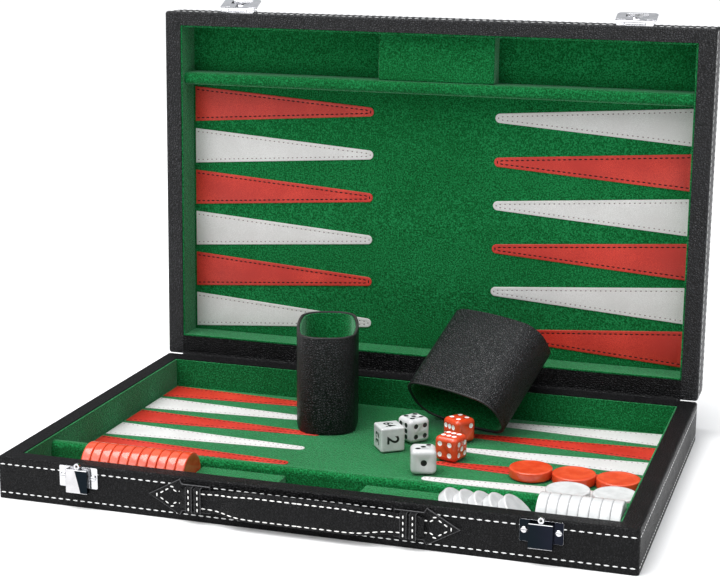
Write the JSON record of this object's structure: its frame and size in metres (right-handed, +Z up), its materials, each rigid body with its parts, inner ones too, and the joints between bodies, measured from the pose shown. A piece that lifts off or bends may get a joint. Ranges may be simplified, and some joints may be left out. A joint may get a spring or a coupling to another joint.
{
  "type": "backgammon set in attache case",
  "caption": "Open attache-style backgammon case with felt trays, stitched points, leather handle, latches, dice cups, dice, doubling cube and checkers.",
  "frame": {"origin": "centre of the base half's underside", "axes": "+X along the case's width to the right as seen from the handle, +Y from the handle to the hinge line, +Z up"},
  "size_m": [0.384, 0.2848, 0.2819],
  "materials": {
    "rail_wood": "matt",
    "case_leather": "satin",
    "board": "matt",
    "green_felt": "matt",
    "red_leather": "satin",
    "white_leather": "satin",
    "chrome_fittings": "polished",
    "spring_steel": "satin",
    "cup_board": "matt",
    "red_plastic": "gloss",
    "white_plastic": "gloss"
  },
  "bodies": {
    "base": {"base_walls": "rail_wood", "base_cover": "case_leather", "base_panel": "board", "base_outer_sheet": "case_leather", "base_lining": "green_felt", "base_field_board": "board", "base_field_felt": "green_felt", "base_divider_bar": "green_felt", "base_red_points": "red_leather", "base_white_points": "white_leather", "base_trough_blocks": "green_felt", "base_hinge_strip": "case_leather", "handle_strap_ends": "case_leather", "handle_tabs": "case_leather", "handle_keepers": "case_leather", "latch_screws": "chrome_fittings", "latch_plate_left": "chrome_fittings", "latch_housing_left": "chrome_fittings", "latch_spring_left": "spring_steel", "latch_plate_right": "chrome_fittings", "latch_housing_right": "chrome_fittings", "latch_spring_right": "spring_steel"},
    "lid": {"lid_walls": "rail_wood", "lid_cover": "case_leather", "lid_panel": "board", "lid_outer_sheet": "case_leather", "lid_lining": "green_felt", "lid_field_board": "board", "lid_field_felt": "green_felt", "lid_divider_bar": "green_felt", "lid_red_points": "red_leather", "lid_white_points": "white_leather", "lid_trough_block": "green_felt", "lid_hinge_strip": "case_leather", "hasp_screws": "chrome_fittings", "hasp_plate_left": "chrome_fittings", "hasp_pin_left": "chrome_fittings", "hasp_plate_right": "chrome_fittings", "hasp_pin_right": "chrome_fittings"},
    "hasp_left": {"hasp_flap_left": "chrome_fittings"},
    "hasp_right": {"hasp_flap_right": "chrome_fittings"},
    "latch_button_left": {"latch_button_left": "chrome_fittings"},
    "latch_button_right": {"latch_button_right": "chrome_fittings"},
    "handle": {"handle_grip": "case_leather"},
    "cup_standing": {"cup_standing_shell": "case_leather", "cup_standing_base": "cup_board", "cup_standing_lining": "green_felt"},
    "cup_leaning": {"cup_leaning_shell": "case_leather", "cup_leaning_base": "cup_board", "cup_leaning_lining": "green_felt"},
    "die_white_front": {"die_white_front": "white_plastic"},
    "die_white_back": {"die_white_back": "white_plastic"},
    "die_red_front": {"die_red_front": "red_plastic"},
    "die_red_back": {"die_red_back": "red_plastic"},
    "doubling_cube": {"doubling_cube": "white_plastic"},
    "checkers_red_rack": {"checkers_red_rack": "red_plastic"},
    "checkers_red_board": {"checkers_red_board": "red_plastic"},
    "checkers_white_rack": {"checkers_white_rack": "white_plastic"},
    "checkers_white_leaning": {"checkers_white_leaning": "white_plastic"},
    "checkers_white_board": {"checkers_white_board": "white_plastic"}
  },
  "joints": [
    {"name": "lid_hinge", "type": "hinge", "parent": "base", "child": "lid", "pos_m": [0, 0.1235, 0.026], "axis": [-1, 0, 0], "range_deg": [0, 89]},
    {"name": "hasp_left", "type": "hinge", "parent": "lid", "child": "hasp_left", "pos_m": [-0.1385, 0.13185, 0.27499], "axis": [1, 0, 0], "range_deg": [0, 150]},
    {"name": "hasp_right", "type": "hinge", "parent": "lid", "child": "hasp_right", "pos_m": [0.1385, 0.13185, 0.27499], "axis": [1, 0, 0], "range_deg": [0, 150]},
    {"name": "latch_button_left", "type": "slide", "parent": "base", "child": "latch_button_left", "axis": [0, 0, -1], "range_m": [0, 0.003], "stiffness_N_per_m": 150, "springref_m": -0.004, "deforming": ["latch_spring_left"]},
    {"name": "latch_button_right", "type": "slide", "parent": "base", "child": "latch_button_right", "axis": [0, 0, -1], "range_m": [0, 0.003], "stiffness_N_per_m": 150, "springref_m": -0.004, "deforming": ["latch_spring_right"]},
    {"name": "handle_lift", "type": "slide", "parent": "base", "child": "handle", "axis": [0, -1, 0], "range_m": [0, 0.012]},
    {"name": "cup_standing_lift", "type": "slide", "parent": "base", "child": "cup_standing", "axis": [0, 0, 1], "range_m": [0, 0.12]},
    {"name": "cup_leaning_lift", "type": "slide", "parent": "base", "child": "cup_leaning", "axis": [0, -0.5, 0.866], "range_m": [0, 0.12]},
    {"name": "die_white_front_lift", "type": "slide", "parent": "base", "child": "die_white_front", "axis": [0, 0, 1], "range_m": [0, 0.06]},
    {"name": "die_white_back_lift", "type": "slide", "parent": "base", "child": "die_white_back", "axis": [0, 0, 1], "range_m": [0, 0.06]},
    {"name": "die_red_front_lift", "type": "slide", "parent": "base", "child": "die_red_front", "axis": [0, 0, 1], "range_m": [0, 0.06]},
    {"name": "die_red_back_lift", "type": "slide", "parent": "base", "child": "die_red_back", "axis": [-0.1, -0.7, 0.7071], "range_m": [0, 0.06]},
    {"name": "doubling_cube_lift", "type": "slide", "parent": "base", "child": "doubling_cube", "axis": [0, 0, 1], "range_m": [0, 0.06]},
    {"name": "checkers_red_rack_lift", "type": "slide", "parent": "base", "child": "checkers_red_rack", "axis": [0, 0, 1], "range_m": [0, 0.05]},
    {"name": "checkers_red_board_lift", "type": "slide", "parent": "base", "child": "checkers_red_board", "axis": [0, 0, 1], "range_m": [0, 0.05]},
    {"name": "checkers_white_rack_lift", "type": "slide", "parent": "base", "child": "checkers_white_rack", "axis": [0, 0, 1], "range_m": [0, 0.05]},
    {"name": "checkers_white_leaning_lift", "type": "slide", "parent": "base", "child": "checkers_white_leaning", "axis": [0, 0, 1], "range_m": [0, 0.05]},
    {"name": "checkers_white_board_lift", "type": "slide", "parent": "base", "child": "checkers_white_board", "axis": [0, 0, 1], "range_m": [0, 0.05]}
  ]
}
